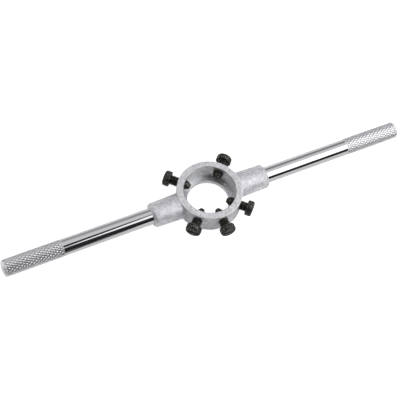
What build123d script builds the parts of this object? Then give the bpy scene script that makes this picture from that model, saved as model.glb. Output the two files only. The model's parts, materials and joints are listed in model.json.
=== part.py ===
from build123d import *
from math import radians, tan
import os

# Die stock for a round split die, in millimetres.
# The origin is on the die's axis in the ring's bottom face, +Z is up, and the handles lie along X.

# Round die that the ring takes
DIE_DIAMETER = 38.0
DIE_THICKNESS = 14.0
DIE_PLAY = 0.1

# Ring with a ledge under the die
RING_WALL = 5.15
LEDGE_THICKNESS = 3.4
LEDGE_WIDTH = 3.55
SEAT_CHAMFER = 0.4
RING_EDGE_BREAK = 0.5

# Two bosses, cast in one piece with the ring
BOSS_LENGTH = 21.8
BOSS_ROOT_WIDTH = 19.7
BOSS_END_WIDTH = 18.5
BOSS_HEIGHT = 16.6
BOSS_FLOOR_GAP = 0.2
BOSS_END_ROUND = 2.4
SOCKET_DEPTH = 18.0
SOCKET_CLEARANCE = 0.02

# Handles
HANDLE_DIAMETER = 12.3
HANDLE_FREE_LENGTH = 111.0
HANDLE_INNER_CHAMFER = 0.8
GRIP_LENGTH = 43.3
GRIP_DIAMETER = 12.6
GRIP_SHOULDER = 0.15
GRIP_END_ROUND = 1.2
GRIP_END_DOME = 1.2

# Slotted cheese-head screws with a cone point
SCREW_DIAMETER = 7.4
SCREW_LENGTH = 15.6
SCREW_RUNNING_CLEARANCE = 0.05
POINT_FLAT_DIAMETER = 3.3
POINT_ANGLE = 60.0
HEAD_DIAMETER = 11.5
HEAD_HEIGHT = 4.8
HEAD_ROUND = 1.5
HEAD_UNDER_ROUND = 0.5
SLOT_WIDTH = 2.0
SLOT_DEPTH = 2.0
SCREW_ABOVE_LEDGE = 7.9

# Each screw's direction from +X towards +Y, in degrees
SCREW_ANGLES = {
    "clamp_screw_right": 45.0,
    "clamp_screw_left": 135.0,
    "closing_screw_left": -135.0,
    "spreading_screw": -90.0,
    "closing_screw_right": -45.0,
}

# Gap between each screw's head and the ring's wall
HEAD_GAPS = {
    "clamp_screw_right": 5.0,
    "clamp_screw_left": 6.35,
    "closing_screw_left": 5.75,
    "spreading_screw": 5.6,
    "closing_screw_right": 4.9,
}

seat_radius = (DIE_DIAMETER + DIE_PLAY) / 2
ring_radius = seat_radius + RING_WALL
ring_height = LEDGE_THICKNESS + DIE_THICKNESS
work_hole_radius = seat_radius - LEDGE_WIDTH
boss_end = ring_radius + BOSS_LENGTH
boss_root = seat_radius + RING_WALL / 2
handle_height = BOSS_FLOOR_GAP + BOSS_HEIGHT / 2
handle_end = boss_end + HANDLE_FREE_LENGTH
handle_start = boss_end - SOCKET_DEPTH
screw_height = LEDGE_THICKNESS + SCREW_ABOVE_LEDGE


def boss_section(distance, width):
    """Ellipse across a boss, at a distance from the ring's axis."""
    plane = Plane(origin=(distance, 0, handle_height), x_dir=(0, 1, 0), z_dir=(1, 0, 0))
    return plane * Ellipse(width / 2, BOSS_HEIGHT / 2)


def boss():
    """Tapered boss towards +X, with its outer edge rounded."""
    taper = loft([boss_section(boss_root, BOSS_ROOT_WIDTH), boss_section(boss_end, BOSS_END_WIDTH)])
    outer_edge = taper.edges().sort_by(Axis.X)[-1]
    return fillet(outer_edge, BOSS_END_ROUND)


def socket():
    """Blind round hole for one handle, towards +X."""
    radius = HANDLE_DIAMETER / 2 + SOCKET_CLEARANCE
    hole = Cylinder(radius, SOCKET_DEPTH, rotation=(0, 90, 0), align=(Align.CENTER, Align.CENTER, Align.MIN))
    return Pos(handle_start, 0, handle_height) * hole


def screw_hole(angle):
    """Radial hole for one screw, from the ring's axis out through its wall."""
    radius = SCREW_DIAMETER / 2 + SCREW_RUNNING_CLEARANCE
    hole = Cylinder(radius, ring_radius, rotation=(0, 90, 0), align=(Align.CENTER, Align.CENTER, Align.MIN))
    return Rot(0, 0, angle) * Pos(0, 0, screw_height) * hole


def die_holder():
    """One casting: the ring, its ledge, both bosses, their sockets and the screw holes."""
    floor = (Align.CENTER, Align.CENTER, Align.MIN)
    ring = Cylinder(ring_radius, ring_height, align=floor)
    ring = chamfer(ring.edges().filter_by(GeomType.CIRCLE), RING_EDGE_BREAK)
    body = ring + boss() + mirror(boss(), about=Plane.YZ)
    seat = Pos(0, 0, LEDGE_THICKNESS) * Cylinder(seat_radius, DIE_THICKNESS, align=floor)
    seat_mouth = Pos(0, 0, ring_height - SEAT_CHAMFER) * Cone(
        seat_radius, seat_radius + SEAT_CHAMFER, SEAT_CHAMFER, align=floor
    )
    work_hole = Cylinder(work_hole_radius, ring_height, align=floor)
    body = body - seat - seat_mouth - work_hole
    body = body - socket() - mirror(socket(), about=Plane.YZ)
    for angle in SCREW_ANGLES.values():
        body = body - screw_hole(angle)
    return body


def handle():
    """Round bar towards +X, with a raised grip band and a slightly domed outer end."""
    bar_radius = HANDLE_DIAMETER / 2
    grip_radius = GRIP_DIAMETER / 2
    grip_start = handle_end - GRIP_LENGTH
    outline = Polyline(
        (handle_start, 0),
        (handle_start, bar_radius - HANDLE_INNER_CHAMFER),
        (handle_start + HANDLE_INNER_CHAMFER, bar_radius),
        (grip_start, bar_radius),
        (grip_start + GRIP_SHOULDER, grip_radius),
        (handle_end, grip_radius),
    )
    dome = TangentArc((handle_end + GRIP_END_DOME, 0), (handle_end, grip_radius), tangent=(0, 1))
    axis = Line((handle_end + GRIP_END_DOME, 0), (handle_start, 0))
    bar = revolve(Plane.XZ * make_face(outline + dome + axis), axis=Axis.X)
    rims = bar.edges().filter_by(GeomType.CIRCLE).filter_by(lambda edge: edge.is_closed)
    outer_edge = rims.sort_by(Axis.X)[-1]
    return Pos(0, 0, handle_height) * fillet(outer_edge, GRIP_END_ROUND)


def screw():
    """Screw along X with a level slot: the underside of its head at the origin, its point towards -X."""
    shank_radius = SCREW_DIAMETER / 2
    flat_radius = POINT_FLAT_DIAMETER / 2
    head_radius = HEAD_DIAMETER / 2
    cone_start = (shank_radius - flat_radius) / tan(radians(POINT_ANGLE / 2)) - SCREW_LENGTH
    outline = Polyline(
        (-SCREW_LENGTH, 0),
        (-SCREW_LENGTH, flat_radius),
        (cone_start, shank_radius),
        (0, shank_radius),
        (0, head_radius),
        (HEAD_HEIGHT, head_radius),
        (HEAD_HEIGHT, 0),
        close=True,
    )
    turned = revolve(Plane.XZ * make_face(outline), axis=Axis.X)
    rims = turned.edges().filter_by(GeomType.CIRCLE).filter_by(lambda edge: edge.radius > shank_radius + 0.1)
    turned = fillet(rims.sort_by(Axis.X)[-1], HEAD_ROUND)
    rims = turned.edges().filter_by(GeomType.CIRCLE).filter_by(lambda edge: edge.radius > shank_radius + 0.1)
    turned = fillet(rims.sort_by(Axis.X)[0], HEAD_UNDER_ROUND)
    slot = Box(SLOT_DEPTH, HEAD_DIAMETER, SLOT_WIDTH, align=(Align.MAX, Align.CENTER, Align.CENTER))
    return turned - Pos(HEAD_HEIGHT, 0, 0) * slot


def placed_screw(angle, head_gap):
    """Screw in its radial hole, with a gap between its head and the ring's wall."""
    return Rot(0, 0, angle) * Pos(ring_radius + head_gap, 0, screw_height) * screw()


os.makedirs("parts", exist_ok=True)

parts = {
    "die_holder": die_holder(),
    "right_handle": handle(),
    "left_handle": mirror(handle(), about=Plane.YZ),
}
for name, angle in SCREW_ANGLES.items():
    parts[name] = placed_screw(angle, HEAD_GAPS[name])

for name, shape in parts.items():
    export_step(shape, f"parts/{name}.step")
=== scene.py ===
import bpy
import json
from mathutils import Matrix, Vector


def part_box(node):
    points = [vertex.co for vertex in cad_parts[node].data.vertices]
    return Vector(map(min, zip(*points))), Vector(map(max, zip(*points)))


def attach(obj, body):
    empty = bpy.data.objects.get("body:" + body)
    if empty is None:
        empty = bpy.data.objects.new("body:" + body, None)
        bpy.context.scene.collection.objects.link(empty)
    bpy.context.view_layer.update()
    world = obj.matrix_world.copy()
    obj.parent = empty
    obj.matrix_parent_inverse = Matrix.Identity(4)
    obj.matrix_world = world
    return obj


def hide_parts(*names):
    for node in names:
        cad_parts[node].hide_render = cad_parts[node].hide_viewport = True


bl_info = {
    "name": "Die stock",
    "version": (1, 0, 0),
    "blender": (4, 5, 0),
    "location": "View3D > Sidebar > Die stock",
    "description": "Dresses a die stock: cast holder, knurled chrome handles and threaded screws",
    "category": "Object",
}

import json
from math import atan2, cos, degrees, pi, radians, sin, sqrt, tan
from typing import NamedTuple

import bpy
import numpy as np
from bpy.props import FloatProperty, FloatVectorProperty, IntProperty, PointerProperty
from mathutils import Matrix, Vector

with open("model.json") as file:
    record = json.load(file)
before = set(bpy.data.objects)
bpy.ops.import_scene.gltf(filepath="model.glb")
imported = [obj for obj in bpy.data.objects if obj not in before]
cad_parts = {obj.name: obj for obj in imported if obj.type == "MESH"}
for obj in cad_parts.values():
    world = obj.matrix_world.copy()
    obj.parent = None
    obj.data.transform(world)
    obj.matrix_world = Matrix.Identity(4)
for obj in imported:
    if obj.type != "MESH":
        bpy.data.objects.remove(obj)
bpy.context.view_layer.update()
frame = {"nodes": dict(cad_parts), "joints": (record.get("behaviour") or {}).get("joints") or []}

STOCK = "stock"
HANDLES = {"right_handle": 1, "left_handle": -1}
SCREWS = {joint["child"]: Vector(joint["axis"]) for joint in frame["joints"]}

RING_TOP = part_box("die_holder")[1].z
HANDLE_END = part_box("right_handle")[1].x
HANDLE_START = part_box("right_handle")[0].x
GRIP_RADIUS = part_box("right_handle")[1].y
HANDLE_HEIGHT = (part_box("right_handle")[0].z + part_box("right_handle")[1].z) / 2

# Lengths that are too small to see, in metres
HAIR = 0.00001
SPECK = 0.000001

# Where the casting's surfaces change: radii from the die's axis, and heights, in metres
SEAT_MOUTH_RADIUS = 0.0195
SEAT_WALL_RADIUS = 0.0189
HOLE_EDGE_RADIUS = 0.01555
TOP_RADIUS = 0.0242
OUTER_RADIUS = 0.02425
RIM_RADIUS = 0.0236
RIM_DEPTH = 0.00055
TOP_MARGIN = 0.00005
UNDERSIDE = 0.0002
LEDGE_TOP = 0.0036
# Height in the bore below which it is painted lighter and above which it is painted darker
BORE_MIDDLE = 0.012

# A painted highlight round the outer edge of the ring's top, and how rough a turned face is
RIM_HIGHLIGHT_COLOUR = (0.9, 0.9, 0.9, 1)
RIM_HIGHLIGHT_SHARE = 0.7
TURNED_ROUGHNESS = 0.4

# Knurl: points along and round one diamond, and how steep a groove's sides are
DIAMOND_POINTS = 12
GROOVE_SLOPE = 1.7

# Knurled band: how its ends lie against the grip's shoulder and rounded end, in metres
CREST_GAP = 0.00006
SHOULDER_BARE = (-0.0002, -0.0001)
SHOULDER_RAISED = 0.0002
# SHOULDER_DULL: where the shoulder turns rough and is painted darker
SHOULDER_DULL = (0.0004, 0.0003)
BAND_START_INSET = 0.0002
BAND_END_INSET = 0.0004
BAND_FADE = 0.0005

# Stations along the plain bar, in metres
BAR_FIRST = 0.004
BAR_LAST = 0.0006
BAR_SPACING = 0.012

# Thread: how much of its wave is root, over how much it rises, and where it runs out, in metres
THREAD_ROOT = 0.25
THREAD_RISE = 0.6
THREAD_POINTS = 12
RUNOUT_LEVEL = 0.55
RUNOUT_LENGTH = 0.0009
POINT_MARGIN = 0.0001

# Screws: facets round, rings on the head's face as shares of its radius, and how far its side
# is rubbed; the slot's edges are broken by a small bevel
SCREW_SEGMENTS = 64
HEAD_RINGS = (0.7, 0.45, 0.2)
HEAD_SIDE_MARGIN = 0.0008
CREST_RUBBED = 0.75
SIDE_RUBBED = 0.36
SLOT_BREAK = 0.00012

# Floor, cards, lamp, world and camera; lengths in metres, the sensor's width in millimetres
FLOOR_REACH = 6.0
CARD_POINTS = 41
CARD_COLOUR = (0.98, 0.98, 1.0, 1)
LAMP_SIZE = (1.3, 0.93)
LAMP_PLACE = (0.89, -0.46, 0.72)
LAMP_TILT = radians(33.0)
HORIZON_FADE = (0.1, 0.4)
OVERHEAD_FADE = (0.5, 0.9)
SENSOR_WIDTH = 36
CLIP_START = 0.01
CLIP_END = 50
WHITE = (1.0, 1.0, 1.0, 1)


# Nodes


class Value:
    """One output socket of a node, with arithmetic that adds Math nodes."""

    def __init__(self, nodes, socket):
        self.nodes = nodes
        self.socket = socket

    def __getitem__(self, output):
        """Another output of the same node."""
        return Value(self.nodes, self.socket.node.outputs[output])

    def math(self, operation, *values):
        """A Math node on the given values."""
        settings = {"operation": operation}
        return self.nodes.add("ShaderNodeMath", settings, dict(enumerate(values)))

    def __add__(self, other):
        return self.math("ADD", self, other)

    def __sub__(self, other):
        return self.math("SUBTRACT", self, other)

    def __rsub__(self, other):
        return self.math("SUBTRACT", other, self)

    def __mul__(self, other):
        return self.math("MULTIPLY", self, other)

    def __truediv__(self, other):
        return self.math("DIVIDE", self, other)

    def __lt__(self, other):
        return self.math("LESS_THAN", self, other)

    def __gt__(self, other):
        return self.math("GREATER_THAN", self, other)

    def lowest(self, other):
        """The lower of two values."""
        return self.math("MINIMUM", self, other)

    def highest(self, other):
        """The higher of two values."""
        return self.math("MAXIMUM", self, other)

    def swing(self, amount):
        """How far a noise lies from its middle, times an amount."""
        return (self - 0.5) * amount

    def zigzag(self):
        """0 to 1 and back to 0 over each whole number."""
        return self.math("PINGPONG", self, 0.5) * 2.0

    def fade(self, start, end):
        """0 at start to 1 at end, smoothly."""
        settings = {"interpolation_type": "SMOOTHSTEP"}
        inputs = {"Value": self, "From Min": start, "From Max": end}
        return self.nodes.add("ShaderNodeMapRange", settings, inputs)

    __radd__ = __add__
    __rmul__ = __mul__


class Nodes:
    """A node tree under construction."""

    def __init__(self, tree):
        self.tree = tree

    def add(self, kind, settings=None, inputs=None, output=0):
        """Adds a node of any kind with its settings, then the values or links of its inputs."""
        node = self.tree.nodes.new(kind)
        for name, value in (settings or {}).items():
            setattr(node, name, value)
        for key, value in (inputs or {}).items():
            if isinstance(value, Value):
                self.tree.links.new(value.socket, node.inputs[key])
            else:
                node.inputs[key].default_value = value
        return Value(self, node.outputs[output]) if node.outputs else node

    def place(self):
        """The position on the piece."""
        return self.add("ShaderNodeTexCoord", output="Object")

    def attribute(self, name):
        """A value stored on the mesh."""
        return self.add("ShaderNodeAttribute", {"attribute_name": name}, output="Fac")

    def split(self, vector):
        """The three parts of a vector."""
        xyz = self.add("ShaderNodeSeparateXYZ", inputs={0: vector})
        return xyz["X"], xyz["Y"], xyz["Z"]

    def combine(self, x, y, z):
        """A vector from its three parts."""
        return self.add("ShaderNodeCombineXYZ", inputs={"X": x, "Y": y, "Z": z})

    def stretched(self, vector, x, y, z):
        """A vector times a factor along each axis."""
        settings = {"operation": "MULTIPLY"}
        return self.add("ShaderNodeVectorMath", settings, {0: vector, 1: (x, y, z)})

    def length(self, vector):
        """The length of a vector."""
        settings = {"operation": "LENGTH"}
        return self.add("ShaderNodeVectorMath", settings, {0: vector}, "Value")

    def mix(self, amount, first, second):
        """Mix of two colours."""
        inputs = {0: amount, 6: first, 7: second}
        return self.add("ShaderNodeMix", {"data_type": "RGBA"}, inputs, output=2)

    def tint(self, colour, grey):
        """A colour times a grey value."""
        settings = {"data_type": "RGBA", "blend_type": "MULTIPLY"}
        return self.add("ShaderNodeMix", settings, {0: 1.0, 6: colour, 7: grey}, output=2)

    def noise(self, place, scale, detail=2.0, roughness=0.5):
        """Soft noise from 0 to 1."""
        inputs = {"Vector": place, "Scale": scale, "Detail": detail, "Roughness": roughness}
        return self.add("ShaderNodeTexNoise", inputs=inputs)

    def bump(self, height, distance):
        """A normal that follows a height."""
        return self.add("ShaderNodeBump", inputs={"Height": height, "Distance": distance})

    def store(self, mesh, name, value, domain="POINT"):
        """Stores a value on a mesh by name."""
        settings = {"data_type": "FLOAT", "domain": domain}
        inputs = {"Geometry": mesh, "Name": name, "Value": value}
        return self.add("GeometryNodeStoreNamedAttribute", settings, inputs)

    def surface(self, **inputs):
        """Ends a material with one surface."""
        inputs = {name.replace("_", " "): value for name, value in inputs.items()}
        surface = self.add("ShaderNodeBsdfPrincipled", inputs=inputs)
        self.add("ShaderNodeOutputMaterial", inputs={"Surface": surface})


def opaque(colour):
    """A colour with its alpha."""
    return (*colour, 1.0)


def new_material(name):
    """An empty material and its nodes."""
    material = bpy.data.materials.new(name)
    material.use_nodes = True
    material.node_tree.nodes.clear()
    return material, Nodes(material.node_tree)


# Finishes


def cast_alloy(settings):
    """Cast aluminium: mottled skin outside, turned rings and streaks on the ring's faces and in its
    bore; painted shade on the outer wall and in the bore, painted light low in the bore and on the
    ledge, and a painted highlight round the top's outer edge.
    """
    material, nodes = new_material("cast_alloy")
    place = nodes.place()
    x, y, z = nodes.split(place)
    radius = nodes.length(nodes.combine(x, y, 0.0))
    angle = x.math("ARCTAN2", y, x)

    inside = (radius < SEAT_MOUTH_RADIUS) * (z > UNDERSIDE)
    top = (z > RING_TOP - TOP_MARGIN) * (radius < TOP_RADIUS)
    turned = inside.highest(top)
    outer_wall = (radius < OUTER_RADIUS) * (1 - turned)
    seat_wall = inside * (radius > SEAT_WALL_RADIUS)
    ledge = inside * (radius > HOLE_EDGE_RADIUS) * (z < LEDGE_TOP)
    rim = (radius > RIM_RADIUS) * (radius < OUTER_RADIUS) * (z > RING_TOP - RIM_DEPTH)

    patches = nodes.noise(place, scale=230.0, detail=3.0, roughness=0.62)
    clouds = nodes.noise(place, scale=90.0, detail=1.0)
    grain = nodes.noise(place, scale=1500.0, detail=3.0, roughness=0.7)
    inputs = {"Vector": place, "Scale": 850.0}
    crystals = nodes.add("ShaderNodeTexVoronoi", inputs=inputs, output="Color")
    spangle = crystals.swing(settings.mottling)
    skin = 1.0 + patches.swing(settings.mottling * 1.6) + spangle
    skin = skin + clouds.swing(0.18) + grain.swing(0.16)
    # Painted shade: the ring's outer wall is painted darker than the bosses, standing in for the
    # shade it gets
    skin = skin * (1 - outer_wall * settings.painted_wall_shade)

    along_rings = nodes.combine(radius * 1700.0, angle * 1.3, z * 5200.0)
    rings = nodes.noise(along_rings, scale=1.0, detail=2.0)
    along_streaks = nodes.combine(radius * 500.0, angle * 1.8, z * 420.0)
    streaks = nodes.noise(along_streaks, scale=1.0, detail=2.0, roughness=0.6)
    marks_and_painted_light = 1.0 + rings.swing(0.22) + patches.swing(0.3) + spangle
    # Painted shade and light on the bore's wall: darker all over as shade in the recess, darker
    # towards the top, lighter low down where bounce light falls
    painted_depth_light = (BORE_MIDDLE - z) * 14.0
    marks_and_painted_light = marks_and_painted_light + seat_wall * (streaks.swing(0.7) - settings.painted_bore_shade + painted_depth_light)
    # Painted light: the ledge is painted lighter, standing in for the bounce light it gets
    marks_and_painted_light = marks_and_painted_light + ledge * 0.12

    cast = nodes.tint(opaque(settings.cast_colour), skin)
    cut = nodes.tint(opaque(settings.turned_colour), marks_and_painted_light)
    colour = nodes.mix(turned, cast, cut)
    # Painted highlight: the outer edge of the ring's top is mixed towards a pale colour
    colour = nodes.mix(rim * RIM_HIGHLIGHT_SHARE, colour, RIM_HIGHLIGHT_COLOUR)

    smoothing = turned * (settings.cast_roughness - TURNED_ROUGHNESS)
    relief = patches * 0.5 + grain * 0.35
    relief = relief * (1 - turned) + rings * turned * 0.18
    nodes.surface(
        Base_Color=colour,
        Metallic=settings.metal_share + turned * settings.turned_metal,
        Roughness=settings.cast_roughness + patches.swing(0.22) - smoothing,
        Normal=nodes.bump(relief, distance=0.00012),
    )
    return material


def chrome(settings):
    """Polished chrome on a drawn bar: faint lengthwise lines and haze; duller in the knurl, with
    painted shade in its grooves, on the rounded ends and on the shoulder.
    """
    material, nodes = new_material("chrome")
    place = nodes.place()
    groove = nodes.attribute("groove")
    grip = nodes.attribute("grip")
    cap = nodes.attribute("cap")
    lines = nodes.noise(nodes.stretched(place, 25.0, 3500.0, 3500.0), scale=1.0, detail=2.0)
    haze = nodes.noise(place, scale=120.0, detail=3.0, roughness=0.6)
    grain = nodes.noise(place, scale=2600.0, detail=2.0)
    specks = grain.fade(0.35, 0.65)
    # Painted shade: the knurl's grooves are painted darker; the grip also gets random brighter
    # specks and a small lift
    tone_and_painted_shade = 1.0 + haze.swing(0.05) - groove * 0.72
    # Painted shade: the rounded end and the shoulder ('cap') are painted darker to damp their
    # highlights
    tone_and_painted_shade = tone_and_painted_shade + grip * (specks * 0.45 + 0.09) - cap * 0.12
    nodes.surface(
        Base_Color=nodes.tint(opaque(settings.chrome_colour), tone_and_painted_shade),
        Metallic=1.0,
        Roughness=0.055 + haze * 0.05 + grip * 0.19 + groove * 0.1 + cap * 0.34,
        Normal=nodes.bump(lines * (1 - grip) + grain * grip, distance=0.000006),
    )
    return material


def black_oxide(settings):
    """Blackened steel, rubbed lighter on the thread's crests and on the heads' sides."""
    material, nodes = new_material("black_oxide")
    place = nodes.place()
    rubbed = nodes.attribute("rubbed")
    patches = nodes.noise(place, scale=420.0, detail=3.0, roughness=0.6)
    specks = nodes.noise(place, scale=1000.0, detail=3.0, roughness=0.7)
    bright = specks.fade(0.53, 0.62) * 1.4 + rubbed * specks.fade(0.38, 0.62)
    bright = bright * settings.rubbing
    black, bare = opaque(settings.black_colour), opaque(settings.rubbed_colour)
    nodes.surface(
        Base_Color=nodes.tint(nodes.mix(bright, black, bare), 0.5 + patches),
        Metallic=0.85,
        Roughness=0.3 + patches * 0.34,
        Normal=nodes.bump(patches * 0.6 + specks * 0.8, distance=0.00008),
    )
    return material


# Meshes


def lathe(name, outline, segments):
    """Closed round mesh about X from (x, radius) points; the first and last lie on the axis."""
    turns = np.arange(segments) * (2 * pi / segments)
    inner = np.array(outline[1:-1])
    rings = len(inner)
    vertices = np.empty((rings, segments, 3))
    vertices[:, :, 0] = inner[:, :1]
    vertices[:, :, 1] = inner[:, 1:] * np.cos(turns)
    vertices[:, :, 2] = inner[:, 1:] * np.sin(turns)
    points = [*vertices.reshape(-1, 3).tolist(), (outline[0][0], 0, 0), (outline[-1][0], 0, 0)]
    first_pole, last_pole = len(points) - 2, len(points) - 1
    last_ring = (rings - 1) * segments
    faces = []
    for low in range(0, last_ring, segments):
        high = low + segments
        for turn in range(segments):
            after = (turn + 1) % segments
            faces.append((low + turn, low + after, high + after, high + turn))
    for turn in range(segments):
        after = (turn + 1) % segments
        faces.append((first_pole, after, turn))
        faces.append((last_pole, last_ring + turn, last_ring + after))
    mesh = bpy.data.meshes.new(name)
    mesh.from_pydata(points, [], faces)
    mesh.shade_smooth()
    return add_object(name, mesh)


def add_object(name, data):
    """Puts a mesh, lamp or camera into the scene."""
    item = bpy.data.objects.new(name, data)
    bpy.context.scene.collection.objects.link(item)
    return item


def arc(centre_x, centre_radius, size, start, end, steps):
    """Points of a round on a lathe outline, from start to end in degrees; 0 points along +X."""
    angles = [radians(start + (end - start) * step / steps) for step in range(steps + 1)]
    return [(centre_x + size * cos(a), centre_radius + size * sin(a)) for a in angles]


def stations(start, end, spacing):
    """Evenly spaced places from start to end, about a spacing apart."""
    count = max(1, round((end - start) / spacing))
    return [start + (end - start) * step / count for step in range(count + 1)]


def node_modifier(piece, tree, values):
    """Puts a Geometry Nodes tree on a piece, with its inputs set by their identifiers."""
    modifier = piece.modifiers.new(tree.name, "NODES")
    modifier.node_group = tree
    for item in tree.interface.items_tree:
        if item.in_out == "INPUT" and item.name in values:
            modifier[item.identifier] = values[item.name]


def settle(piece, matrix, crease):
    """Turns a piece with modifiers into a plain mesh in its final place, sharp past the crease."""
    depsgraph = bpy.context.evaluated_depsgraph_get()
    evaluated = piece.evaluated_get(depsgraph)
    mesh = bpy.data.meshes.new_from_object(evaluated, depsgraph=depsgraph)
    rough = piece.data
    piece.modifiers.clear()
    piece.data = mesh
    bpy.data.meshes.remove(rough)
    mesh.transform(matrix)
    mesh.update()
    mesh.shade_smooth()
    mesh.set_sharp_from_angle(angle=radians(crease))
    mesh.name = piece.name


def new_tree(name, floats, integers=()):
    """A Geometry Nodes tree that takes a mesh, the named inputs and a finish."""
    tree = bpy.data.node_groups.new(name, "GeometryNodeTree")
    add_socket = tree.interface.new_socket
    add_socket("Mesh", in_out="INPUT", socket_type="NodeSocketGeometry")
    add_socket("Mesh", in_out="OUTPUT", socket_type="NodeSocketGeometry")
    for label in floats:
        add_socket(label, in_out="INPUT", socket_type="NodeSocketFloat")
    for label in integers:
        add_socket(label, in_out="INPUT", socket_type="NodeSocketInt")
    add_socket("Finish", in_out="INPUT", socket_type="NodeSocketMaterial")
    nodes = Nodes(tree)
    return tree, nodes, nodes.add("NodeGroupInput")


def end_tree(nodes, given, mesh):
    """Ends a tree with a real mesh that wears its finish."""
    mesh = nodes.add("GeometryNodeRealizeInstances", inputs={"Geometry": mesh})
    inputs = {"Geometry": mesh, "Material": given["Finish"]}
    mesh = nodes.add("GeometryNodeSetMaterial", inputs=inputs)
    nodes.add("NodeGroupOutput", inputs={0: mesh})


def polar(nodes):
    """The position of a lathe's points: x, y, z, distance from the axis, and turns round it."""
    x, y, z = nodes.split(nodes.add("GeometryNodeInputPosition"))
    square = y * y + z * z
    radius = square.math("SQRT", square)
    turns = y.math("ARCTAN2", z, y) / (2 * pi)
    return x, y, z, radius, turns


def set_radius(nodes, mesh, place, radius, new_radius):
    """Moves a lathe's points to a new distance from the axis."""
    x, y, z = place
    ratio = new_radius / radius.highest(SPECK)
    moved = nodes.combine(x, y * ratio, z * ratio)
    return nodes.add("GeometryNodeSetPosition", inputs={"Geometry": mesh, "Position": moved})


def knurl_tree():
    """Presses two families of helical grooves into a grip band, which leaves rows of diamonds."""
    floats = (
        "Diamond Length",
        "Groove Depth",
        "Crest Radius",
        "Band Start",
        "Band End",
        "Fade",
    )
    tree, nodes, given = new_tree("knurl", floats, ["Diamonds Round"])
    x, y, z, radius, turns = polar(nodes)
    along = x / given["Diamond Length"]
    around = turns * given["Diamonds Round"]
    rising = (along + around).zigzag()
    falling = (along - around).zigzag()
    height = (rising.lowest(falling) * GROOVE_SLOPE).lowest(1.0)
    begun = x.fade(given["Band Start"], given["Band Start"] + given["Fade"])
    ended = x.fade(given["Band End"] - given["Fade"], given["Band End"])
    shown = begun * (1 - ended)
    dull_start, dull_end = SHOULDER_DULL
    shoulder = x.fade(given["Band Start"] - dull_start, given["Band Start"] - dull_end)
    mesh = nodes.store(given["Mesh"], "groove", (1 - height) * shown)
    mesh = nodes.store(mesh, "grip", shoulder)
    # 'cap' marks the rounded end and the shoulder, which are made rougher and painted darker,
    # painted shade that damps their highlights
    mesh = nodes.store(mesh, "cap", ended.highest(shoulder * (1 - begun)))
    pressed = given["Crest Radius"] - given["Groove Depth"] * (1 - height)
    new_radius = radius + (pressed - radius) * shown
    end_tree(nodes, given, set_radius(nodes, mesh, (x, y, z), radius, new_radius))
    return tree


def screw_tree():
    """Cuts a right-hand thread into a screw blank's shank and a slot across its head."""
    floats = (
        "Pitch",
        "Crest Radius",
        "Core Radius",
        "Shank Start",
        "Shank End",
        "Runout",
        "Head Face",
        "Head Radius",
        "Slot Width",
        "Slot Depth",
    )
    tree, nodes, given = new_tree("slotted_screw", floats)
    x, y, z, radius, turns = polar(nodes)
    wave = (x / given["Pitch"] - turns).zigzag()
    flank = ((wave - THREAD_ROOT) / THREAD_RISE).highest(0.0).lowest(1.0)
    runout = x.fade(given["Shank End"] - given["Runout"], given["Shank End"])
    flank = flank + (RUNOUT_LEVEL - flank) * runout
    cut = given["Core Radius"] + (given["Crest Radius"] - given["Core Radius"]) * flank
    on_shank = (x > given["Shank Start"]) * (x < given["Shank End"] - HAIR)
    new_radius = radius + (cut.lowest(radius) - radius) * on_shank
    mesh = set_radius(nodes, given["Mesh"], (x, y, z), radius, new_radius)
    on_side = (x > 0.0) * (x < given["Head Face"] - HEAD_SIDE_MARGIN)
    rubbed = flank * on_shank * CREST_RUBBED + on_side * SIDE_RUBBED
    mesh = nodes.store(mesh, "rubbed", rubbed)

    size = nodes.combine(given["Slot Depth"] * 2.0, given["Head Radius"] * 3.0, given["Slot Width"])
    cutter = nodes.add("GeometryNodeMeshCube", inputs={"Size": size})
    shift = nodes.combine(given["Head Face"], 0.0, 0.0)
    inputs = {"Geometry": cutter, "Translation": shift}
    cutter = nodes.add("GeometryNodeTransform", inputs=inputs)
    settings = {"operation": "DIFFERENCE", "solver": "EXACT"}
    inputs = {"Mesh 1": mesh, "Mesh 2": cutter}
    slotted = nodes.add("GeometryNodeMeshBoolean", settings, inputs, "Mesh")
    edges = slotted["Intersecting Edges"]
    mesh = nodes.store(slotted, "bevel_weight_edge", edges, "EDGE")
    end_tree(nodes, given, mesh)
    return tree


# Settings


class HolderSettings(bpy.types.PropertyGroup):
    """Finish of the casting, with its painted light and shade"""

    cast_colour: FloatVectorProperty(
        name="Cast colour",
        description="Colour of the as-cast skin",
        subtype="COLOR",
        size=3,
        default=(0.685, 0.68, 0.715),
        min=0,
        max=1,
    )
    turned_colour: FloatVectorProperty(
        name="Turned colour",
        description="Colour of the turned faces",
        subtype="COLOR",
        size=3,
        default=(0.69, 0.69, 0.71),
        min=0,
        max=1,
    )
    mottling: FloatProperty(
        name="Mottling",
        description="How strongly the cast skin varies in brightness",
        subtype="FACTOR",
        default=0.45,
        min=0,
        max=1,
    )
    # Painted shade: how much darker the outer wall's colour is painted than the bosses'
    painted_wall_shade: FloatProperty(
        name="Wall shade",
        description="How much darker the ring's outer wall is than the bosses",
        subtype="FACTOR",
        default=0.12,
        min=0,
        max=1,
    )
    # Painted shade: how much the bore's colour is darkened, standing in for the shade inside it
    painted_bore_shade: FloatProperty(
        name="Bore shade",
        description="How much darker the bore is than the ring's top",
        subtype="FACTOR",
        default=0.26,
        min=0,
        max=1,
    )
    cast_roughness: FloatProperty(
        name="Cast roughness",
        description="Roughness of the as-cast skin",
        subtype="FACTOR",
        default=0.5,
        min=0,
        max=1,
    )
    turned_metal: FloatProperty(
        name="Turned metal",
        description="How much more metallic the turned faces look",
        subtype="FACTOR",
        default=0.2,
        min=0,
        max=1,
    )
    metal_share: FloatProperty(
        name="Metal share",
        description="How metallic the alloy's surface looks",
        subtype="FACTOR",
        default=0.5,
        min=0,
        max=1,
    )


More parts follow.
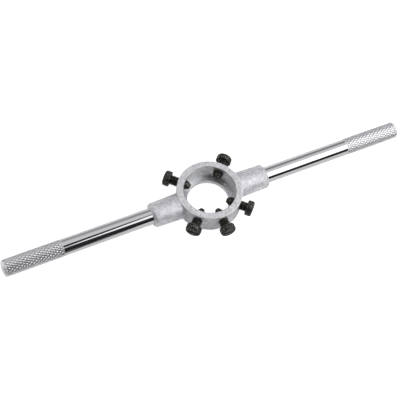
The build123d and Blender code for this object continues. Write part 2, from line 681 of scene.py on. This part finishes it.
class HandleSettings(bpy.types.PropertyGroup):
    """Sizes and finish of the handles"""

    bar_radius: FloatProperty(
        name="Bar radius",
        description="Radius of the plain bar",
        unit="LENGTH",
        default=0.00615,
        min=0.003,
        precision=5,
    )
    grip_length: FloatProperty(
        name="Grip length",
        description="Length of the knurled band",
        unit="LENGTH",
        default=0.0433,
        min=0.01,
        precision=5,
    )
    end_round: FloatProperty(
        name="End round",
        description="Round on the outer end",
        unit="LENGTH",
        default=0.0012,
        min=0.0003,
        precision=5,
    )
    dome: FloatProperty(
        name="Dome",
        description="Height of the outer end's dome",
        unit="LENGTH",
        default=0.0012,
        min=0.0001,
        precision=5,
    )
    inner_chamfer: FloatProperty(
        name="Inner chamfer",
        description="Chamfer on the end in the socket",
        unit="LENGTH",
        default=0.0008,
        min=0,
        precision=5,
    )
    diamonds_round: IntProperty(
        name="Diamonds round",
        description="Knurl diamonds in one row round the grip",
        default=18,
        min=6,
    )
    diamond_length: FloatProperty(
        name="Diamond length",
        description="Length of one knurl diamond along the bar",
        unit="LENGTH",
        default=0.0035,
        min=0.001,
        precision=5,
    )
    groove_depth: FloatProperty(
        name="Groove depth",
        description="Depth of the knurl's grooves",
        unit="LENGTH",
        default=0.00031,
        min=0.0001,
        precision=5,
    )
    chrome_colour: FloatVectorProperty(
        name="Chrome colour",
        description="Colour of the chrome",
        subtype="COLOR",
        size=3,
        default=(0.575, 0.575, 0.59),
        min=0,
        max=1,
    )


class ScrewSettings(bpy.types.PropertyGroup):
    """Sizes and finish of the screws"""

    shank_radius: FloatProperty(
        name="Shank radius",
        description="Radius over the thread",
        unit="LENGTH",
        default=0.00368,
        precision=5,
    )
    core_radius: FloatProperty(
        name="Core radius",
        description="Radius at the thread's root",
        unit="LENGTH",
        default=0.00308,
        precision=5,
    )
    pitch: FloatProperty(
        name="Pitch",
        description="Advance in one turn",
        unit="LENGTH",
        default=0.001,
        precision=5,
    )
    length: FloatProperty(
        name="Length",
        description="From under the head to the point",
        unit="LENGTH",
        default=0.0156,
        precision=5,
    )
    flat_radius: FloatProperty(
        name="Point flat",
        description="Radius of the flat on the point",
        unit="LENGTH",
        default=0.00165,
        precision=5,
    )
    head_radius: FloatProperty(
        name="Head radius",
        description="Radius of the head",
        unit="LENGTH",
        default=0.00573,
        precision=5,
    )
    head_height: FloatProperty(
        name="Head height",
        description="Height of the head",
        unit="LENGTH",
        default=0.0048,
        precision=5,
    )
    head_round: FloatProperty(
        name="Head round",
        description="Round on the head's outer edge",
        unit="LENGTH",
        default=0.0015,
        precision=5,
    )
    head_under_round: FloatProperty(
        name="Head under round",
        description="Round on the head's inner edge",
        unit="LENGTH",
        default=0.0005,
        precision=5,
    )
    point_angle: FloatProperty(
        name="Point angle",
        description="Full angle of the cone point",
        subtype="ANGLE",
        default=radians(60),
    )
    slot_width: FloatProperty(
        name="Slot width",
        description="Width of the slot",
        unit="LENGTH",
        default=0.002,
        precision=5,
    )
    slot_depth: FloatProperty(
        name="Slot depth",
        description="Depth of the slot",
        unit="LENGTH",
        default=0.002,
        precision=5,
    )
    rubbing: FloatProperty(
        name="Rubbing",
        description="How much of the black finish is rubbed bright",
        subtype="FACTOR",
        default=0.6,
        min=0,
        max=1,
    )
    black_colour: FloatVectorProperty(
        name="Black colour",
        description="Colour of the blackened steel",
        subtype="COLOR",
        size=3,
        default=(0.025, 0.0247, 0.0215),
        min=0,
        max=1,
    )
    rubbed_colour: FloatVectorProperty(
        name="Rubbed colour",
        description="Colour where the black finish is rubbed off",
        subtype="COLOR",
        size=3,
        default=(0.2, 0.194, 0.18),
        min=0,
        max=1,
    )


class StageSettings(bpy.types.PropertyGroup):
    """Camera, floor and light"""

    azimuth: FloatProperty(
        name="Azimuth",
        description="The camera's turn round the ring",
        subtype="ANGLE",
        default=radians(32.12),
    )
    elevation: FloatProperty(
        name="Elevation",
        description="The camera's angle over the floor",
        subtype="ANGLE",
        default=radians(60.058),
    )
    roll: FloatProperty(
        name="Roll",
        description="The camera's turn about its own axis",
        subtype="ANGLE",
        default=radians(-8.89),
    )
    distance: FloatProperty(
        name="Distance",
        description="From the camera to the ring",
        unit="LENGTH",
        default=0.758812,
        precision=6,
    )
    offset: FloatVectorProperty(
        name="Offset",
        description="Where the ring's centre lies in the view, to the right and up",
        subtype="TRANSLATION",
        size=2,
        default=(0.005855, -0.000867),
        precision=6,
    )
    focal_length: FloatProperty(
        name="Focal length",
        description="Lens on a 36 mm sensor, in millimetres",
        default=92.3956,
        min=10,
    )
    floor_colour: FloatVectorProperty(
        name="Floor colour",
        description="Colour of the floor",
        subtype="COLOR",
        size=3,
        default=(0.8, 0.8, 0.8),
        min=0,
        max=1,
    )
    floor_glow: FloatProperty(
        name="Floor glow",
        description="White added to the floor where it is seen directly",
        default=0.84,
        min=0,
    )
    floor_gloss: FloatProperty(
        name="Floor in gloss",
        description="White added to the floor where metal reflects it",
        default=0.44,
        min=0,
    )
    horizon: FloatProperty(
        name="Horizon",
        description="Brightness of the light near the horizon",
        default=0.94,
        min=0,
    )
    horizon_right: FloatProperty(
        name="Horizon right",
        description="How much is added to the horizon's brightness towards the right",
        default=0.7,
    )
    horizon_back: FloatProperty(
        name="Horizon back",
        description="How much is added to the horizon's brightness towards the back",
        default=-0.24,
    )
    overhead: FloatProperty(
        name="Overhead",
        description="Brightness of the light overhead",
        default=0.66,
        min=0,
    )
    overhead_back: FloatProperty(
        name="Overhead back",
        description="How much brighter the light overhead is towards the back",
        default=0.8,
    )
    key: FloatProperty(
        name="Key light",
        description="Brightness of the soft light's face",
        default=2.59,
        min=0,
    )


class DieStockSettings(bpy.types.PropertyGroup):
    """Everything that can be changed on the die stock"""

    holder: PointerProperty(type=HolderSettings)
    handles: PointerProperty(type=HandleSettings)
    screws: PointerProperty(type=ScrewSettings)
    stage: PointerProperty(type=StageSettings)


# Pieces


class DIE_STOCK_OT_holder(bpy.types.Operator):
    """Give the casting its cast and turned surfaces"""

    bl_idname = "die_stock.holder"
    bl_label = "Finish the holder"

    def execute(self, context):
        material = cast_alloy(context.scene.die_stock.holder)
        node = frame["nodes"]["die_holder"]
        node.material_slots[0].material = material
        return {"FINISHED"}


def handle_outline(settings):
    """A handle's outline from its inner to its outer end, and where its knurl starts and ends."""
    bar, chamfer, edge = settings.bar_radius, settings.inner_chamfer, settings.end_round
    rim = GRIP_RADIUS - CREST_GAP
    spacing = settings.diamond_length / DIAMOND_POINTS
    dome_radius = (rim * rim + settings.dome * settings.dome) / (2 * settings.dome)
    dome_centre = HANDLE_END - dome_radius
    band_end = dome_centre + sqrt((dome_radius - edge) ** 2 - (rim - edge) ** 2)
    lean = degrees(atan2(rim - edge, band_end - dome_centre))
    grip_start = HANDLE_END - settings.dome - settings.grip_length
    bar_first, bar_last = HANDLE_START + chamfer + BAR_FIRST, grip_start - BAR_LAST
    outline = [(HANDLE_START, 0), (HANDLE_START, bar - chamfer), (HANDLE_START + chamfer, bar)]
    outline += [(x, bar) for x in stations(bar_first, bar_last, BAR_SPACING)]
    outline += [(grip_start + step, bar) for step in SHOULDER_BARE]
    outline += [(x, rim) for x in stations(grip_start + SHOULDER_RAISED, band_end, spacing)]
    outline += arc(band_end, rim - edge, edge, 90, lean, steps=6)[1:]
    outline += arc(dome_centre, 0, dome_radius, lean, 0, steps=6)[1:]
    return outline, grip_start, band_end


class DIE_STOCK_OT_handles(bpy.types.Operator):
    """Make the two chrome bars with their knurled grips"""

    bl_idname = "die_stock.handles"
    bl_label = "Make the handles"

    def execute(self, context):
        settings = context.scene.die_stock.handles
        material = chrome(settings)
        tree = knurl_tree()
        outline, band_start, band_end = handle_outline(settings)
        values = {
            "Diamond Length": settings.diamond_length,
            "Groove Depth": settings.groove_depth,
            "Crest Radius": GRIP_RADIUS,
            "Band Start": band_start + BAND_START_INSET,
            "Band End": band_end - BAND_END_INSET,
            "Fade": BAND_FADE,
            "Diamonds Round": settings.diamonds_round,
            "Finish": material,
        }
        for node, side in HANDLES.items():
            piece = lathe(f"{node}_bar", outline, settings.diamonds_round * DIAMOND_POINTS)
            node_modifier(piece, tree, values)
            turn = Matrix.Rotation(0 if side > 0 else pi, 4, "Z")
            settle(piece, Matrix.Translation((0, 0, HANDLE_HEIGHT)) @ turn, crease=50.0)
            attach(piece, STOCK)
            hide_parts(node)
        return {"FINISHED"}


def screw_outline(settings):
    """A screw blank's outline from its point to its head's face; x = 0 is under the head."""
    shank, flat, head = settings.shank_radius, settings.flat_radius, settings.head_radius
    point, face = -settings.length, settings.head_height
    spacing = settings.pitch / THREAD_POINTS
    slope = tan(settings.point_angle / 2)
    cone_end = point + (shank - flat) / slope
    cone = stations(point + spacing, cone_end, spacing)
    outline = [(point, 0), (point, flat * 0.5), (point, flat)]
    outline += [(x, flat + (x - point) * slope) for x in cone]
    outline += [(x, shank) for x in stations(cone_end + spacing, -HAIR, spacing)]
    outline += [(0, shank), (0, (shank + head) / 2)]
    under, outer = settings.head_under_round, settings.head_round
    outline += arc(under, head - under, under, 180, 90, steps=4)
    outline += arc(face - outer, head - outer, outer, 90, 0, steps=7)
    outline += [(face, head * share) for share in HEAD_RINGS]
    outline += [(face, 0)]
    return outline


class DIE_STOCK_OT_screws(bpy.types.Operator):
    """Make the five threaded and slotted screws"""

    bl_idname = "die_stock.screws"
    bl_label = "Make the screws"

    def execute(self, context):
        settings = context.scene.die_stock.screws
        material = black_oxide(settings)
        tree = screw_tree()
        values = {
            "Pitch": settings.pitch,
            "Crest Radius": settings.shank_radius,
            "Core Radius": settings.core_radius,
            "Shank Start": -settings.length + POINT_MARGIN,
            "Shank End": 0.0,
            "Runout": RUNOUT_LENGTH,
            "Head Face": settings.head_height,
            "Head Radius": settings.head_radius,
            "Slot Width": settings.slot_width,
            "Slot Depth": settings.slot_depth,
            "Finish": material,
        }
        for name, axis in SCREWS.items():
            piece = lathe(f"{name}_threaded", screw_outline(settings), SCREW_SEGMENTS)
            node_modifier(piece, tree, values)
            bevel = piece.modifiers.new("slot_edges", "BEVEL")
            bevel.limit_method = "WEIGHT"
            bevel.width = SLOT_BREAK
            bevel.segments = 2
            low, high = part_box(name)
            reach = max(axis.dot(vertex.co) for vertex in frame["nodes"][name].data.vertices)
            direction = Matrix.Rotation(atan2(axis.y, axis.x), 4, "Z")
            shift = (reach - settings.head_height, 0, (low.z + high.z) / 2)
            settle(piece, direction @ Matrix.Translation(shift), crease=40.0)
            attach(piece, name)
            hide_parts(name)
        return {"FINISHED"}


# Stage


def floor_material(settings):
    """Matt floor that looks white where it is seen directly or in gloss, and keeps its shadow."""
    material, nodes = new_material("floor")
    rays = nodes.add("ShaderNodeLightPath")
    reflected = rays["Is Glossy Ray"] + rays["Is Transmission Ray"]
    inputs = {"Color": opaque(settings.floor_colour), "Roughness": 1.0}
    matt = nodes.add("ShaderNodeBsdfDiffuse", inputs=inputs)
    strength = rays["Is Camera Ray"] * settings.floor_glow + reflected * settings.floor_gloss
    glow = nodes.add("ShaderNodeEmission", inputs={"Color": WHITE, "Strength": strength})
    both = nodes.add("ShaderNodeAddShader", inputs={0: matt, 1: glow})
    nodes.add("ShaderNodeOutputMaterial", inputs={"Surface": both})
    return material


def make_floor(settings):
    """One large flat sheet at height 0."""
    mesh = bpy.data.meshes.new("floor")
    reach = FLOOR_REACH
    corners = [(-reach, -reach, 0), (reach, -reach, 0), (reach, reach, 0), (-reach, reach, 0)]
    mesh.from_pydata(corners, [], [(0, 1, 2, 3)])
    mesh.materials.append(floor_material(settings))
    add_object("floor", mesh)


class Card(NamedTuple):
    """A curved card along X that only shows in gloss.

    tone is its brightness: one value, or a function of x and of the angle up from the front.
    reach is its two ends along X and distance its radius about the bars' axis, in metres.
    low and high are its edges, as angles up from the front in degrees: the angle at x = 0,
    and what is added to it for each metre along X. soft is the width of their fade, in degrees.
    """

    name: str
    tone: object
    reach: tuple
    distance: float
    low: tuple
    high: tuple
    soft: float = 1.5


# Brightness of the card behind, at angles up from the front, for its left and its right end
BACK_ANGLES = (86, 99, 111, 124, 138, 153, 166, 180)
BACK_LEFT = (1.15, 1.0, 0.82, 1.03, 1.25, 0.04, 0.38, 0.6)
BACK_RIGHT = (0.74, 1.0, 0.98, 0.7, 0.2, 0.42, 1.03, 0.9)
BACK_BLEND = 0.4


def back_tone(x, angle):
    """Brightness of the card behind at a place, blended from its left to its right end."""
    left = np.interp(angle, BACK_ANGLES, BACK_LEFT)
    right = np.interp(angle, BACK_ANGLES, BACK_RIGHT)
    share = min(1.0, max(0.0, 0.5 + x / BACK_BLEND))
    return left + (right - left) * share


CARDS = (
    Card("front_card", tone=0.04, reach=(-2, 0.3), distance=1.25, low=(0, 0), high=(83, 0)),
    Card(
        "left_end_card",
        tone=2.0,
        reach=(-0.5, -0.2),
        distance=0.12,
        low=(100, 0),
        high=(178, 0),
        soft=8.0,
    ),
    Card(
        "left_low_card",
        tone=0.015,
        reach=(-0.3, 0.002),
        distance=0.09,
        low=(-5, 0),
        high=(22, 0),
    ),
    Card(
        "left_foot_card",
        tone=0.03,
        reach=(-0.113, -0.055),
        distance=0.026,
        low=(10.8, 255),
        high=(0, 0),
        soft=0.8,
    ),
    Card(
        "right_low_card",
        tone=0.04,
        reach=(0.07, 0.5),
        distance=0.09,
        low=(-8, 0),
        high=(32.6, 0),
        soft=2.5,
    ),
    Card(
        "back_card",
        tone=back_tone,
        reach=(-0.9, 1.5),
        distance=0.85,
        low=(84.5, 0),
        high=(180, 0),
        soft=2.5,
    ),
    Card(
        "light_strip",
        tone=1.65,
        reach=(-0.6, 0.23),
        distance=0.86,
        low=(48.5, -27),
        high=(56.3, 109),
    ),
)


def card_material(name):
    """A card's face: 'tone' is its brightness, and 'cover' fades it out towards its edges."""
    material, nodes = new_material(name)
    cover, tone = nodes.attribute("cover"), nodes.attribute("tone")
    clear = nodes.add("ShaderNodeBsdfTransparent")
    face = nodes.add("ShaderNodeEmission", inputs={"Color": CARD_COLOUR, "Strength": tone})
    mixed = nodes.add("ShaderNodeMixShader", inputs={0: cover, 1: clear, 2: face})
    nodes.add("ShaderNodeOutputMaterial", inputs={"Surface": mixed})
    return material


def make_card(card):
    """Makes one card, with its brightness and its soft edges stored on its mesh."""
    points, cover, tones = [], [], []
    for x in np.linspace(*card.reach, CARD_POINTS):
        low, high = (edge[0] + edge[1] * x for edge in (card.low, card.high))
        centre, half = (low + high) / 2, (high - low) / 2
        for share in np.linspace(-1, 1, CARD_POINTS):
            angle = radians(centre + half * share)
            forward, up = card.distance * cos(angle), card.distance * sin(angle)
            points.append((x, -forward, HANDLE_HEIGHT + up))
            tones.append(card.tone(x, degrees(angle)) if callable(card.tone) else card.tone)
            inset = min(1.0, max(0.0, (1 - abs(share)) * half / card.soft))
            cover.append(inset * inset * (3 - 2 * inset))
    faces = [
        (corner, corner + 1, corner + CARD_POINTS + 1, corner + CARD_POINTS)
        for start in range(0, (CARD_POINTS - 1) * CARD_POINTS, CARD_POINTS)
        for corner in range(start, start + CARD_POINTS - 1)
    ]
    mesh = bpy.data.meshes.new(card.name)
    mesh.from_pydata(points, [], faces)
    for label, values in (("cover", cover), ("tone", tones)):
        attribute = mesh.attributes.new(label, "FLOAT", "POINT")
        attribute.data.foreach_set("value", np.array(values, np.float32))
    mesh.materials.append(card_material(card.name))
    piece = add_object(card.name, mesh)
    piece.visible_camera = False
    piece.visible_diffuse = False
    piece.visible_transmission = False
    piece.visible_volume_scatter = False
    piece.visible_shadow = False


def make_world(settings):
    """Soft light from all round: one brightness near the horizon and another overhead."""
    world = bpy.data.worlds.new("studio")
    world.use_nodes = True
    world.node_tree.nodes.clear()
    nodes = Nodes(world.node_tree)
    x, y, z = nodes.split(nodes.place())
    horizon = settings.horizon + x * settings.horizon_right + y * settings.horizon_back
    overhead = settings.overhead * (1.0 + y * settings.overhead_back)
    strength = (1 - z.fade(*HORIZON_FADE)) * horizon + z.fade(*OVERHEAD_FADE) * overhead
    sky = nodes.add("ShaderNodeBackground", inputs={"Color": WHITE, "Strength": strength})
    nodes.add("ShaderNodeOutputWorld", inputs={"Surface": sky})
    bpy.context.scene.world = world


def make_lamp(settings):
    """One large soft light over the right handle."""
    lamp = bpy.data.lights.new("soft_light", "AREA")
    lamp.shape = "RECTANGLE"
    lamp.size, lamp.size_y = LAMP_SIZE
    lamp.energy = settings.key * pi * lamp.size * lamp.size_y
    light = add_object("soft_light", lamp)
    light.location = LAMP_PLACE
    light.rotation_euler = (LAMP_TILT, 0, 0)


def make_camera(settings):
    """The camera, turned about the ring and shifted sideways to set the ring's place in view."""
    spin = Matrix.Rotation(settings.azimuth, 3, "Z")
    ahead = Vector((0, cos(settings.elevation), -sin(settings.elevation)))
    right = Vector((1, 0, 0))
    look = Matrix((right, right.cross(ahead), ahead))
    turn = Matrix.Rotation(settings.roll, 3, "Z") @ look @ spin
    offset = Vector((settings.offset[0], settings.offset[1], settings.distance))
    lens = bpy.data.cameras.new("camera")
    lens.sensor_width = SENSOR_WIDTH
    lens.lens = settings.focal_length
    lens.clip_start, lens.clip_end = CLIP_START, CLIP_END
    camera = add_object("camera", lens)
    columns = Matrix((turn[0], turn[1], -turn[2])).transposed()
    place = Matrix.Translation(-(turn.transposed() @ offset))
    camera.matrix_world = place @ columns.to_4x4()
    bpy.context.scene.camera = camera


class DIE_STOCK_OT_stage(bpy.types.Operator):
    """Set the floor, the lights and the camera"""

    bl_idname = "die_stock.stage"
    bl_label = "Set the stage"

    def execute(self, context):
        settings = context.scene.die_stock.stage
        context.scene.view_settings.view_transform = "Standard"
        make_floor(settings)
        make_world(settings)
        make_lamp(settings)
        for card in CARDS:
            make_card(card)
        make_camera(settings)
        return {"FINISHED"}


class DIE_STOCK_PT_sidebar(bpy.types.Panel):
    """Lists the steps that make the die stock"""

    bl_label = "Die stock"
    bl_space_type = "VIEW_3D"
    bl_region_type = "UI"
    bl_category = "Die stock"

    def draw(self, context):
        for operator in OPERATORS:
            self.layout.operator(operator.bl_idname)
        settings = context.scene.die_stock
        for group in (settings.holder, settings.handles, settings.screws, settings.stage):
            box = self.layout.box()
            for name in group.__annotations__:
                box.prop(group, name)


OPERATORS = (
    DIE_STOCK_OT_stage,
    DIE_STOCK_OT_holder,
    DIE_STOCK_OT_handles,
    DIE_STOCK_OT_screws,
)
CLASSES = (
    HolderSettings,
    HandleSettings,
    ScrewSettings,
    StageSettings,
    DieStockSettings,
    *OPERATORS,
    DIE_STOCK_PT_sidebar,
)


def register():
    """Adds the settings, the operators and the panel."""
    for cls in CLASSES:
        bpy.utils.register_class(cls)
    bpy.types.Scene.die_stock = PointerProperty(type=DieStockSettings)


def unregister():
    """Takes the settings, the operators and the panel away again."""
    del bpy.types.Scene.die_stock
    for cls in reversed(CLASSES):
        bpy.utils.unregister_class(cls)


def main():
    """Makes the whole scene."""
    register()
    bpy.ops.die_stock.stage()
    bpy.ops.die_stock.holder()
    bpy.ops.die_stock.handles()
    bpy.ops.die_stock.screws()


if __name__ == "__main__":
    main()
